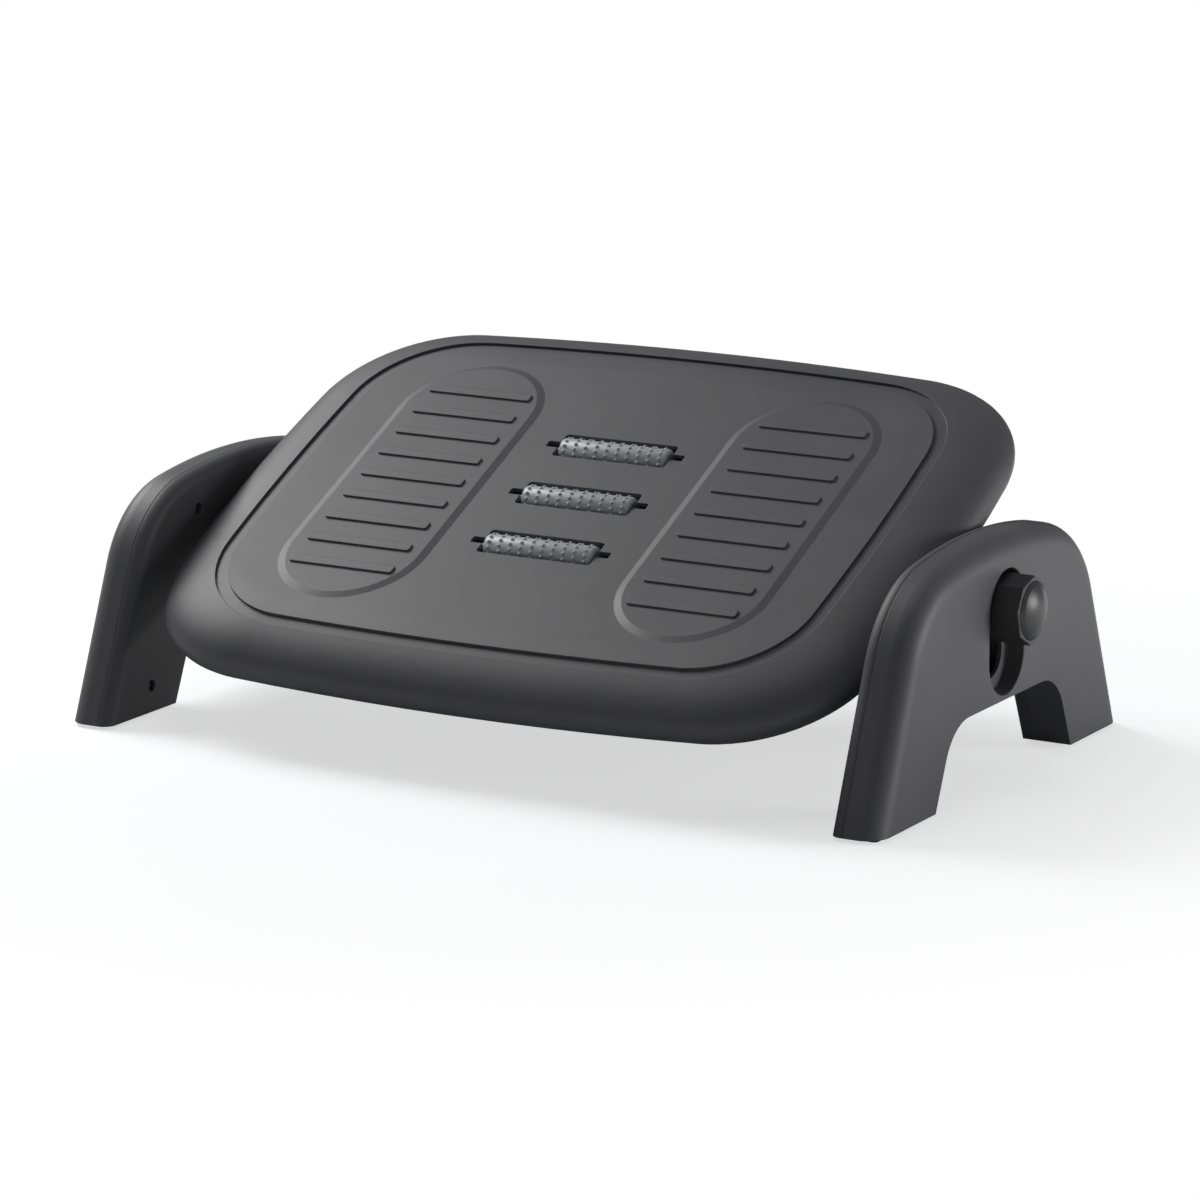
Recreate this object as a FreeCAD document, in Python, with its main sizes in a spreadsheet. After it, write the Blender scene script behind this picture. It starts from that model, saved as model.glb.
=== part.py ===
import FreeCAD, Part
import Sketcher
import math
import os
from FreeCAD import Placement, Rotation, Vector

# Tilting under desk footrest: a pillow-edged platform with two ribbed foot pads and three
# massage rollers, hung by octagonal hubs between two A-shaped hollow legs.
# Millimetres. X runs across the footrest, Y to its rear, Z up. The floor is Z = 0.

doc = FreeCAD.newDocument("footrest")
sheet = doc.addObject("Spreadsheet::Sheet", "Sizes")
rows_written = 0


def driving(alias, value, note):
    # One row of the sheet: the note, the value and its alias.
    global rows_written
    rows_written += 1
    sheet.set("A%d" % rows_written, note)
    sheet.set("B%d" % rows_written, str(value))
    sheet.setAlias("B%d" % rows_written, alias)


# Stance
leg_span = 520
driving("leg_span", leg_span, "outer face of one leg to outer face of the other")
tilt = 25.6
driving("tilt", tilt, "slope of the platform at rest, front edge low, in degrees")
axis_height = 98.3
driving("axis_height", axis_height, "tilt axis above the floor at the top height")
axis_back = 3.7
driving("axis_back", axis_back, "tilt axis behind the middle of the footprint")
height_step = 13.5
driving("height_step", height_step, "distance between the three height positions")

# Leg mouldings
leg_thickness = 29.5
driving("leg_thickness", leg_thickness, "leg across X, cover and shell together")
leg_height = 138
driving("leg_height", leg_height, "crown of the leg above the floor")
foot_reach = 154
driving("foot_reach", foot_reach, "middle of the leg to the toe of a foot")
side_lean = 21.8
driving("side_lean", side_lean, "lean of the leg's front and rear edges, in degrees")
crown_bow = 400
driving("crown_bow", crown_bow, "radius of the gently bowed top")
shoulder = 68
driving("shoulder", shoulder, "radius of the shoulders")
arch_reach = 86
driving("arch_reach", arch_reach, "middle of the leg to the foot of the arch")
arch_rise = 47
driving("arch_rise", arch_rise, "top of the arch above the floor")
arch_lean = 24
driving("arch_lean", arch_lean, "lean of the arch's sides, in degrees")
arch_corner = 30
driving("arch_corner", arch_corner, "radius of the arch's upper corners")
leg_wall = 3
driving("leg_wall", leg_wall, "wall of the leg mouldings")
shell_round = 13
driving("shell_round", shell_round, "round on the shell's outer edge")
cover_round = 7
driving("cover_round", cover_round, "round on the cover's inner edge")
cover_depth = 8
driving("cover_depth", cover_depth, "depth of the inner cover, up to the parting line")
cover_plate = 3.5
driving("cover_plate", cover_plate, "thickness of the cover's plate")
edge_break = 0.8
driving("edge_break", edge_break, "small round on the slot and the arch")
slot_radius = 21.7
driving("slot_radius", slot_radius, "half width of the height slot")
slot_collar = 2.4
driving("slot_collar", slot_collar, "wall of the collar behind the slot")
slot_depth = 10
driving("slot_depth", slot_depth, "depth of the slot, outer face to track plate")
track_plate = 2.5
driving("track_plate", track_plate, "thickness of the plate that closes the collar")
lobe_radius = 14
driving("lobe_radius", lobe_radius, "seat of the journal in the track, one for each height")
cover_slot = 12.6
driving("cover_slot", cover_slot, "half width of the journal's slot in the cover")
parting_break = 0.5
driving("parting_break", parting_break, "small round on both sides of the parting line")
guide_wall = 2.5
driving("guide_wall", guide_wall, "thickness of the two guide rails")
rail_short = 3
driving("rail_short", rail_short, "lower end of the rails above the block's lowest place")
pad_proud = 2
driving("pad_proud", pad_proud, "how far the rubber feet stand below the legs")
pad_length = 42
driving("pad_length", pad_length, "rubber foot along Y")
pad_place = 125
driving("pad_place", pad_place, "middle of the leg to the middle of a rubber foot")
pad_width = 15
driving("pad_width", pad_width, "rubber foot along X")
pad_thickness = 3.5
driving("pad_thickness", pad_thickness, "rubber foot, in its recess")
pad_corner = 3
driving("pad_corner", pad_corner, "corner radius of a rubber foot")
pad_soft = 0.6
driving("pad_soft", pad_soft, "round on its sole")
screw_shank = 1.6
driving("screw_shank", screw_shank, "shank radius of the housing screws")
screw_head = 3.2
driving("screw_head", screw_head, "head radius of the housing screws")
screw_head_tall = 2.2
driving("screw_head_tall", screw_head_tall, "head height of the housing screws")
screw_length = 14
driving("screw_length", screw_length, "shank length of the housing screws")
head_seat = 3
driving("head_seat", head_seat, "plastic under the head of a housing screw")
pilot_spare = 1
driving("pilot_spare", pilot_spare, "room beyond the tip of a housing screw")
boss_radius = 4.5
driving("boss_radius", boss_radius, "radius of the screw bosses")
fit = 0.3
driving("fit", fit, "gap between pieces that only lie side by side")
running = 0.05
driving("running", running, "radial clearance of shafts in their bores")

# Height slide
block_width = 42
driving("block_width", block_width, "slide block along Y")
block_tall = 30
driving("block_tall", block_tall, "slide block along Z")
block_corner = 4
driving("block_corner", block_corner, "corner radius of the slide block")
washer_thickness = 0.9
driving("washer_thickness", washer_thickness, "friction washer")
washer_radius = 17
driving("washer_radius", washer_radius, "outside of the friction washer")

# Hub and button
journal_radius = 11.5
driving("journal_radius", journal_radius, "round journal that turns in the slide block")
tongue_length = 4
driving("tongue_length", tongue_length, "tongue of the hub in the bracket's end")
tongue_half = 9
driving("tongue_half", tongue_half, "half length of that tongue")
tongue_thickness = 7
driving("tongue_thickness", tongue_thickness, "thickness of that tongue")
hub_radius = 19.3
driving("hub_radius", hub_radius, "octagon of the hub, to its corners")
hub_turn = 9.25
driving("hub_turn", hub_turn, "turn of the octagon against the platform, in degrees")
hub_proud = 15
driving("hub_proud", hub_proud, "how far the octagon stands out of the leg")
button_radius = 16
driving("button_radius", button_radius, "domed button")
button_dome = 6
driving("button_dome", button_dome, "height of the dome")
button_bevel = 2
driving("button_bevel", button_bevel, "bevel round the dome")
button_skirt = 7.5
driving("button_skirt", button_skirt, "skirt of the button inside the hub")
button_wall = 2
driving("button_wall", button_wall, "wall of the button")
button_travel = 5
driving("button_travel", button_travel, "how far the button pushes in")
button_gap = 0.3
driving("button_gap", button_gap, "radial gap between button and hub")
lug_reach = 0.9
driving("lug_reach", lug_reach, "retaining lugs beyond the skirt")
lug_width = 6
driving("lug_width", lug_width, "retaining lugs along Z")
lug_tall = 2
driving("lug_tall", lug_tall, "retaining lugs along X")
well_radius = 9.5
driving("well_radius", well_radius, "well for the bolt's head")
well_floor = 252
driving("well_floor", well_floor, "floor of that well")
bolt_radius = 4
driving("bolt_radius", bolt_radius, "pivot bolt")
bolt_head = 7
driving("bolt_head", bolt_head, "head of the pivot bolt")
bolt_head_tall = 5
driving("bolt_head_tall", bolt_head_tall, "height of that head")
bolt_tip = 3
driving("bolt_tip", bolt_tip, "tapered tip of the bolt, beyond the barrel")
nut_across = 13
driving("nut_across", nut_across, "pivot nut across its flats")
nut_tall = 6.5
driving("nut_tall", nut_tall, "height of the pivot nut")
spring_radius = 11
driving("spring_radius", spring_radius, "mean radius of the return spring")
spring_wire = 0.6
driving("spring_wire", spring_wire, "radius of the spring's wire")

# Platform
tread_width = 457
driving("tread_width", tread_width, "platform across X, at its widest")
tread_depth = 335.2
driving("tread_depth", tread_depth, "platform along its slope, at its widest")
tread_corner = 83.5
driving("tread_corner", tread_corner, "corner radius of that outline")
tread_side_bow = 1200
driving("tread_side_bow", tread_side_bow, "bow of the left and right sides")
tread_end_bow = 1950
driving("tread_end_bow", tread_end_bow, "bow of the front and rear edges")
crown_width = 378
driving("crown_width", crown_width, "flat top across X")
crown_depth = 242
driving("crown_depth", crown_depth, "flat top along the slope")
crown_corner = 56
driving("crown_corner", crown_corner, "corner radius of the flat top")
tread_top = 40.5
driving("tread_top", tread_top, "flat top above the tilt axis")
rim_drop = 20.8
driving("rim_drop", rim_drop, "flat top down to the widest line")
rim_under = 16.5
driving("rim_under", rim_under, "widest line down to the rim's lowest line")
rim_tuck = 30
driving("rim_tuck", rim_tuck, "how far the rim turns in below")
tread_wall = 3
driving("tread_wall", tread_wall, "wall of the platform mouldings")
part_drop = 8
driving("part_drop", part_drop, "widest line down to the joint of top and frame")
groove_width = 7.6
driving("groove_width", groove_width, "channel round the top")
groove_deep = 1.5
driving("groove_deep", groove_deep, "depth of that channel below the pillow's skin")
groove_wide = 388
driving("groove_wide", groove_wide, "outer edge of the channel across X")
groove_long = 284
driving("groove_long", groove_long, "outer edge of the channel along the slope")
groove_corner = 67
driving("groove_corner", groove_corner, "corner radius of the channel")
groove_side_bow = 1500
driving("groove_side_bow", groove_side_bow, "bow of the channel's left and right runs")
groove_end_bow = 2500
driving("groove_end_bow", groove_end_bow, "bow of its front and rear runs")
footpad_out = 109.5
driving("footpad_out", footpad_out, "middle of a foot pad from the middle of the platform")
footpad_half = 44
driving("footpad_half", footpad_half, "half width of a foot pad, at mid slope")
footpad_reach = 111
driving("footpad_reach", footpad_reach, "half length of a foot pad, at mid slope")
footpad_rise = 1.2
driving("footpad_rise", footpad_rise, "height of a foot pad")
footpad_slope = 4.5
driving("footpad_slope", footpad_slope, "width of its sloping edge")
bar_half = 34
driving("bar_half", bar_half, "half length of a grip bar")
bar_width = 6.4
driving("bar_width", bar_width, "width of a grip bar")
bar_rise = 1.1
driving("bar_rise", bar_rise, "height of a grip bar")
bar_pitch = 21
driving("bar_pitch", bar_pitch, "spacing of the grip bars")
bar_corner = 1.6
driving("bar_corner", bar_corner, "corner radius of a grip bar")
roller_pitch = 46.5
driving("roller_pitch", roller_pitch, "spacing of the rollers")
roller_slot = 36.7
driving("roller_slot", roller_slot, "half length of a roller slot")
roller_slot_half = 10.3
driving("roller_slot_half", roller_slot_half, "half width of a roller slot")
axle_notch = 44.6
driving("axle_notch", axle_notch, "end of the notch for a roller axle")
axle_notch_half = 2.6
driving("axle_notch_half", axle_notch_half, "half width of that notch")

# Rollers
roller_radius = 7.7
driving("roller_radius", roller_radius, "drum of a roller")
nub_rise = 1
driving("nub_rise", nub_rise, "rings of nubs above the drum")
nub_width = 4
driving("nub_width", nub_width, "width of a ring of nubs at the drum")
nub_rings = 10
driving("nub_rings", nub_rings, "rings of nubs on a roller")
roller_half = 34.6
driving("roller_half", roller_half, "half length of a roller")
roller_axis = 36
driving("roller_axis", roller_axis, "roller axis above the tilt axis")
axle_radius = 2
driving("axle_radius", axle_radius, "steel axle of a roller")
axle_half = 43.6
driving("axle_half", axle_half, "half length of that axle")

# Underside
rib_wall = 2.4
driving("rib_wall", rib_wall, "thickness of the underside ribs")
rib_pitch = 80
driving("rib_pitch", rib_pitch, "spacing of the underside ribs")
tray_half_x = 56
driving("tray_half_x", tray_half_x, "half width of the roller tray")
tray_half_y = 74
driving("tray_half_y", tray_half_y, "half length of the roller tray")
tray_corner = 4
driving("tray_corner", tray_corner, "corner radius of the tray")
cradle_wall = 4.5
driving("cradle_wall", cradle_wall, "thickness of the tray's axle cradles")
cradle_gap = 1.8
driving("cradle_gap", cradle_gap, "gap from a roller's end to its cradle")
cradle_over = 10
driving("cradle_over", cradle_over, "cradle wall beyond the outer axles")
cradle_top = 37.5
driving("cradle_top", cradle_top, "top of the cradles above the tilt axis")
tray_floor = 20
driving("tray_floor", tray_floor, "underside of the roller tray above the tilt axis")
tray_wall = 2.5
driving("tray_wall", tray_wall, "wall of the roller tray")
bracket_in = 152
driving("bracket_in", bracket_in, "inner edge of the pivot bracket's flange")
bracket_out = 209
driving("bracket_out", bracket_out, "outer edge of that flange")
bracket_half = 34
driving("bracket_half", bracket_half, "half length of that flange")
bracket_top = 16
driving("bracket_top", bracket_top, "upper face of that flange above the tilt axis")
bracket_plate = 4
driving("bracket_plate", bracket_plate, "thickness of the bracket's plates")
gusset_reach = 26
driving("gusset_reach", gusset_reach, "half length of the bracket's gussets")
gusset_foot = 5
driving("gusset_foot", gusset_foot, "lower tip of those gussets above the tilt axis")
barrel_radius = 15
driving("barrel_radius", barrel_radius, "barrel of the bracket, round the tilt axis")
barrel_start = 180
driving("barrel_start", barrel_start, "inner end of that barrel")
barrel_end = 228.5
driving("barrel_end", barrel_end, "outer end of that barrel, where it meets the hub")
notch_gap = 2
driving("notch_gap", notch_gap, "gap between the barrel and the notch in the rim")
doc.recompute()


def size(alias):
    return float(sheet.get(alias))


def bind(feature, prop, formula):
    feature.setExpression(prop, formula)


# Small tools for sketches

def plane_of(body, role):
    for plane in body.Origin.OriginFeatures:
        if plane.Role == role:
            return plane
    raise RuntimeError("no plane " + role)


def new_body(label):
    body = doc.addObject("PartDesign::Body", label)
    body.Label = label
    return body


def new_sketch(body, role, name, level=None):
    # A sketch on one of the body's own planes, lifted by the formula in level.
    sketch = body.newObject("Sketcher::SketchObject", name)
    sketch.AttachmentSupport = (plane_of(body, role), "")
    sketch.MapMode = "FlatFace"
    if level is not None:
        bind(sketch, ".AttachmentOffset.Base.z", level)
    return sketch


def line(ax, ay, bx, by):
    return Part.LineSegment(Vector(ax, ay, 0), Vector(bx, by, 0))


def arc(cx, cy, radius, start, end):
    # An arc counted counter-clockwise from start to end, in radians.
    circle = Part.Circle(Vector(cx, cy, 0), Vector(0, 0, 1), radius)
    return Part.ArcOfCircle(circle, start, end)


def add_circle(sketch, cx, cy, formula, radius):
    index = sketch.addGeometry(Part.Circle(Vector(cx, cy, 0), Vector(0, 0, 1), radius))
    rule = sketch.addConstraint(Sketcher.Constraint("Radius", index, radius))
    bind(sketch, "Constraints[%d]" % rule, formula)


def shank_circles(sketch, places, clearance):
    # Holes for screw shanks, with the clearance of that name.
    formula = "Sizes.screw_shank + Sizes." + clearance
    for x, y in places:
        add_circle(sketch, x, y, formula, size("screw_shank") + size(clearance))


def head_circles(sketch, places):
    # Recesses for screw heads.
    for x, y in places:
        add_circle(sketch, x, y, "Sizes.screw_head + Sizes.fit", size("screw_head") + size("fit"))


def boss_circles(sketch, places):
    for x, y in places:
        add_circle(sketch, x, y, "Sizes.boss_radius", size("boss_radius"))


def hexagon(corner):
    # Outline of a hexagon about the origin, with one corner on the first axis.
    points = []
    for k in range(6):
        angle = math.radians(60 * k)
        points.append((corner * math.cos(angle), corner * math.sin(angle)))
    return [line(*(points[k] + points[(k + 1) % 6])) for k in range(6)]


def axis_rod(radius, start, length):
    # A plain cylinder along X on the tilt axis.
    return Part.makeCylinder(radius, length, Vector(start, 0, 0), Vector(1, 0, 0))


def add_rectangle(sketch, x0, y0, x1, y1):
    sketch.addGeometry([line(x0, y0, x1, y0), line(x1, y0, x1, y1),
                        line(x1, y1, x0, y1), line(x0, y1, x0, y0)])


def rounded_box(cx, cy, half_x, half_y, corner):
    # Outline of a rectangle with rounded corners, about its centre.
    corner = min(corner, half_x, half_y)
    ix = half_x - corner
    iy = half_y - corner
    quarter = math.pi / 2
    edges = [arc(cx + ix, cy + iy, corner, 0, quarter),
             arc(cx - ix, cy + iy, corner, quarter, 2 * quarter),
             arc(cx - ix, cy - iy, corner, 2 * quarter, 3 * quarter),
             arc(cx + ix, cy - iy, corner, 3 * quarter, 4 * quarter)]
    if ix > 1e-6:
        edges.append(line(cx - ix, cy + half_y, cx + ix, cy + half_y))
        edges.append(line(cx - ix, cy - half_y, cx + ix, cy - half_y))
    if iy > 1e-6:
        edges.append(line(cx + half_x, cy - iy, cx + half_x, cy + iy))
        edges.append(line(cx - half_x, cy - iy, cx - half_x, cy + iy))
    return edges


def pad(body, sketch, name, formula, backward=False):
    feature = body.newObject("PartDesign::Pad", name)
    feature.Profile = sketch
    feature.Reversed = backward
    bind(feature, "Length", formula)
    return feature


def pocket(body, sketch, name, formula, backward=False):
    # Backward cuts along the sketch's own normal.
    feature = body.newObject("PartDesign::Pocket", name)
    feature.Profile = sketch
    feature.Reversed = backward
    bind(feature, "Length", formula)
    return feature


def edges_where(feature, test):
    names = []
    for number, edge in enumerate(feature.Shape.Edges, 1):
        middle = edge.valueAt((edge.FirstParameter + edge.LastParameter) / 2)
        if test(edge, middle):
            names.append("Edge%d" % number)
    if not names:
        raise RuntimeError("no edges to round on " + feature.Name)
    return names


def fillet(body, base, name, formula, test):
    doc.recompute()
    feature = body.newObject("PartDesign::Fillet", name)
    feature.Base = (base, edges_where(base, test))
    bind(feature, "Radius", formula)
    return feature


def must_cut(body, before, what):
    doc.recompute()
    if body.Shape.Volume >= before - 0.01:
        raise RuntimeError(what + " cut nothing")


# Outline of a leg

def shoulder_arc():
    # Centre of the shoulder arc on the +Y side, and the angle at which the crown takes over.
    lean = math.radians(size("side_lean"))
    crown = size("leg_height") - size("crown_bow")
    radius = size("shoulder")
    normal = Vector(math.cos(lean), math.sin(lean), 0)
    along = Vector(-math.sin(lean), math.cos(lean), 0)
    start = Vector(size("foot_reach"), 0, 0) - normal * radius
    out = start - Vector(0, crown, 0)
    reach = size("crown_bow") - radius
    half = out.dot(along)
    step = -half + math.sqrt(half * half - out.dot(out) + reach * reach)
    centre = start + along * step
    return centre, math.atan2(centre.y - crown, centre.x)


def leg_edges(inset):
    # The A-shaped side view of a leg in Y and Z, moved inward all round by the inset.
    # A straight leaning edge meets the shoulder arc, which meets the bowed crown.
    lean = math.radians(size("side_lean"))
    base = size("pad_proud") + inset
    crown = size("leg_height") - size("crown_bow")
    radius = size("shoulder")
    centre, up = shoulder_arc()
    toe = size("foot_reach") - (inset + base * math.sin(lean)) / math.cos(lean)
    hip = centre + Vector(math.cos(lean), math.sin(lean), 0) * (radius - inset)

    arch_lean = math.radians(size("arch_lean"))
    arch_side = Vector(math.cos(arch_lean), math.sin(arch_lean), 0)
    bend = size("arch_corner")
    bend_z = size("arch_rise") - bend
    bend_y = size("arch_reach") - (bend + bend_z * math.sin(arch_lean)) / math.cos(arch_lean)
    heel = size("arch_reach") + (inset - base * math.sin(arch_lean)) / math.cos(arch_lean)
    knee = Vector(bend_y, bend_z, 0) + arch_side * (bend + inset)
    roof = size("arch_rise") + inset

    edges = []
    for side in (1, -1):
        edges.append(line(side * heel, base, side * toe, base))
        edges.append(line(side * toe, base, side * hip.x, hip.y))
        edges.append(line(side * heel, base, side * knee.x, knee.y))
    straight = math.pi
    edges.append(arc(centre.x, centre.y, radius - inset, lean, up))
    edges.append(arc(-centre.x, centre.y, radius - inset, straight - up, straight - lean))
    edges.append(arc(0, crown, size("crown_bow") - inset, up, straight - up))
    edges.append(arc(bend_y, bend_z, bend + inset, arch_lean, straight / 2))
    edges.append(arc(-bend_y, bend_z, bend + inset, straight / 2, straight - arch_lean))
    edges.append(line(-bend_y, roof, bend_y, roof))
    return edges


def contour_depth(y, z):
    # How deep a point lies inside the front, top and rear edges of a leg.
    lean = math.radians(size("side_lean"))
    centre, up = shoulder_arc()
    y = abs(y)
    angle = math.atan2(z - centre.y, y - centre.x)
    if angle < lean:
        return (size("foot_reach") - y) * math.cos(lean) - z * math.sin(lean)
    if angle < up:
        return size("shoulder") - math.hypot(y - centre.x, z - centre.y)
    return size("crown_bow") - math.hypot(y, z - size("leg_height") + size("crown_bow"))


def on_contour(level, depth):
    # Edges in the plane X = level that run round a leg's front, top and rear at a depth.
    def test(edge, middle):
        flat = abs(middle.x - level) < 1e-3 and edge.BoundBox.XLength < 1e-3
        return flat and abs(contour_depth(middle.y, middle.z) - depth) < 0.2
    return test


# Places of the screws that hold a leg's cover to its shell, in Y and Z.
SCREW_PLACES = [(-109, 17.5), (109, 17.5), (-58, 112), (58, 112)]

# X positions on the right-hand side, which the left-hand side mirrors.
OUTER_FACE = "Sizes.leg_span / 2"
INNER_FACE = "Sizes.leg_span / 2 - Sizes.leg_thickness"
PARTING = INNER_FACE + " + Sizes.cover_depth"
PLATE_BACK = INNER_FACE + " + Sizes.cover_plate"
TRACK_BACK = OUTER_FACE + " - Sizes.slot_depth - Sizes.track_plate"
TRACK_FACE = OUTER_FACE + " - Sizes.slot_depth"
HUB_END = OUTER_FACE + " + Sizes.hub_proud"


def outer_face():
    return size("leg_span") / 2


def inner_face():
    return outer_face() - size("leg_thickness")


def parting():
    return inner_face() + size("cover_depth")


def slot_edges(radius):
    # A stadium round the top and bottom height positions.
    top = size("axis_height")
    low = top - 2 * size("height_step")
    return [arc(0, top, radius, 0, math.pi), arc(0, low, radius, math.pi, 2 * math.pi),
            line(radius, low, radius, top), line(-radius, low, -radius, top)]


def pad_middle_x():
    return parting() + size("fit") + (outer_face() - size("leg_wall") - parting()) / 2


def pad_edges(side, gap):
    # Outline of a rubber foot, seen from below, or with a gap that of its recess.
    half_x = size("pad_width") / 2 + gap
    half_y = size("pad_length") / 2 + gap
    return rounded_box(pad_middle_x(), side * size("pad_place"), half_x, half_y, size("pad_corner"))


def leg_shell():
    # The outer moulding of a leg: a deep hollow tray with a large soft edge and the height
    # slot, closed at its back by a plate with the three-lobed track.
    body = new_body("leg_shell_right")
    outline = new_sketch(body, "YZ_Plane", "shell_outline", PARTING)
    outline.addGeometry(leg_edges(0))
    solid = pad(body, outline, "shell_block", OUTER_FACE + " - (" + PARTING + ")")
    doc.recompute()
    hollow_sketch = new_sketch(body, "YZ_Plane", "shell_hollow", PARTING)
    hollow_sketch.addGeometry(leg_edges(size("leg_wall")))
    before = body.Shape.Volume
    depth = OUTER_FACE + " - (" + PARTING + ") - Sizes.leg_wall"
    hollow = pocket(body, hollow_sketch, "shell_inside", depth, True)
    must_cut(body, before, "shell hollow")
    outside = fillet(body, hollow, "shell_edge", "Sizes.shell_round", on_contour(outer_face(), 0))
    inner_corner = on_contour(outer_face() - size("leg_wall"), size("leg_wall"))
    inside = fillet(body, outside, "shell_inner_edge", "Sizes.shell_round - Sizes.leg_wall", inner_corner)
    fillet(body, inside, "shell_parting_edge", "Sizes.parting_break", on_contour(parting(), 0))
    doc.recompute()

    collar_sketch = new_sketch(body, "YZ_Plane", "collar_outline", TRACK_BACK)
    collar_sketch.addGeometry(slot_edges(size("slot_radius") + size("slot_collar")))
    depth = "Sizes.slot_depth + Sizes.track_plate - Sizes.leg_wall / 2"
    pad(body, collar_sketch, "slot_collar_wall", depth)
    boss_sketch = new_sketch(body, "YZ_Plane", "boss_outline", PARTING)
    boss_circles(boss_sketch, SCREW_PLACES)
    pad(body, boss_sketch, "screw_bosses", OUTER_FACE + " - (" + PARTING + ") - Sizes.leg_wall / 2")
    doc.recompute()

    before = body.Shape.Volume
    slot_sketch = new_sketch(body, "YZ_Plane", "slot_outline", TRACK_BACK + " + Sizes.track_plate")
    slot_sketch.addGeometry(slot_edges(size("slot_radius")))
    pocket(body, slot_sketch, "height_slot", "Sizes.leg_thickness", True)
    must_cut(body, before, "height slot")
    before = body.Shape.Volume
    lobe = new_sketch(body, "YZ_Plane", "lobe_outline", PARTING)
    add_circle(lobe, 0, size("axis_height"), "Sizes.lobe_radius", size("lobe_radius"))
    seat = pocket(body, lobe, "top_seat", "Sizes.leg_thickness", True)
    must_cut(body, before, "track")
    seats = body.newObject("PartDesign::LinearPattern", "height_seats")
    seats.Originals = [seat]
    seats.Direction = (lobe, ["V_Axis"])
    seats.Reversed = True
    bind(seats, "Length", "2 * Sizes.height_step")
    seats.Occurrences = 3
    body.Tip = seats
    doc.recompute()
    before = body.Shape.Volume
    pilot_sketch = new_sketch(body, "YZ_Plane", "pilot_outline", PARTING)
    shank_circles(pilot_sketch, SCREW_PLACES, "running")
    depth = "Sizes.screw_length - Sizes.head_seat + Sizes.pilot_spare"
    pocket(body, pilot_sketch, "pilot_holes", depth, True)
    must_cut(body, before, "pilot holes")

    before = body.Shape.Volume
    recess = new_sketch(body, "XY_Plane", "pad_recess_outline", "Sizes.pad_proud")
    for side in (1, -1):
        recess.addGeometry(pad_edges(side, size("running")))
    recess_cut = pocket(body, recess, "pad_recesses", "Sizes.pad_thickness - Sizes.pad_proud", True)
    must_cut(body, before, "pad recesses")
    reach = size("slot_radius") + 0.1
    low = size("axis_height") - 2 * size("height_step") - reach
    top = size("axis_height") + reach

    def slot_lip(edge, middle):
        on_face = abs(middle.x - outer_face()) < 1e-4
        return on_face and abs(middle.y) < reach and low < middle.z < top
    fillet(body, recess_cut, "slot_lip", "Sizes.edge_break", slot_lip)
    return body


def leg_cover():
    # The inner cover of a leg: a shallow tray with a slot for the journal and the guide rails.
    body = new_body("leg_cover_right")
    outline = new_sketch(body, "YZ_Plane", "cover_outline", INNER_FACE)
    outline.addGeometry(leg_edges(0))
    solid = pad(body, outline, "cover_block", "Sizes.cover_depth")
    rounded = fillet(body, solid, "cover_edge", "Sizes.cover_round", on_contour(inner_face(), 0))
    fillet(body, rounded, "cover_parting_edge", "Sizes.parting_break", on_contour(parting(), 0))
    doc.recompute()
    before = body.Shape.Volume
    hollow = new_sketch(body, "YZ_Plane", "cover_hollow", PLATE_BACK)
    hollow.addGeometry(leg_edges(size("leg_wall")))
    pocket(body, hollow, "cover_inside", "Sizes.cover_depth", True)
    must_cut(body, before, "cover hollow")

    rails = new_sketch(body, "YZ_Plane", "rail_outline", INNER_FACE + " + Sizes.cover_plate / 2")
    inner = size("block_width") / 2 + size("fit")
    outer = inner + size("guide_wall")
    top = size("axis_height") + size("block_tall") / 2
    low = size("axis_height") - 2 * size("height_step") - size("block_tall") / 2 + size("rail_short")
    for side in (1, -1):
        add_rectangle(rails, side * inner, low, side * outer, top)
    reach = TRACK_BACK + " - Sizes.fit - (" + INNER_FACE + " + Sizes.cover_plate / 2)"
    pad(body, rails, "guide_rails", reach)
    bosses = new_sketch(body, "YZ_Plane", "cover_boss_outline", INNER_FACE + " + Sizes.cover_plate / 2")
    boss_circles(bosses, SCREW_PLACES)
    pad(body, bosses, "cover_bosses", "Sizes.cover_depth - Sizes.cover_plate / 2")
    doc.recompute()

    before = body.Shape.Volume
    heads = new_sketch(body, "YZ_Plane", "head_outline", INNER_FACE)
    head_circles(heads, SCREW_PLACES)
    pocket(body, heads, "head_recesses", "Sizes.cover_depth - Sizes.head_seat", True)
    shanks = new_sketch(body, "YZ_Plane", "shank_outline", INNER_FACE)
    shank_circles(shanks, SCREW_PLACES, "fit")
    pocket(body, shanks, "shank_holes", "Sizes.leg_thickness", True)
    must_cut(body, before, "screw holes")

    before = body.Shape.Volume
    way = new_sketch(body, "YZ_Plane", "journal_way_outline", INNER_FACE)
    way.addGeometry(slot_edges(size("cover_slot")))
    pocket(body, way, "journal_way", "Sizes.cover_depth", True)
    must_cut(body, before, "journal way")
    return body


def screw_shape():
    # A pan-head screw along +X with the underside of its head at the origin.
    head = size("screw_head")
    top = Part.makeCone(head, head * 0.8, size("screw_head_tall"), Vector(0, 0, 0), Vector(-1, 0, 0))
    return top.fuse(axis_rod(size("screw_shank"), 0, size("screw_length"))).removeSplitter()


def feature_from(label, shape, place=None):
    feature = doc.addObject("Part::Feature", label)
    feature.Label = label
    feature.Shape = shape
    if place is not None:
        feature.Placement = place
    return feature


def leg_screws():
    # Self-tapping screws, driven from the inner side of the leg.
    seat = inner_face() + size("cover_depth") - size("head_seat")
    one = screw_shape()
    group = []
    for y, z in SCREW_PLACES:
        copy = one.copy()
        copy.translate(Vector(seat, y, z))
        group.append(copy)
    return feature_from("leg_screws_right", Part.makeCompound(group))


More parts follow.
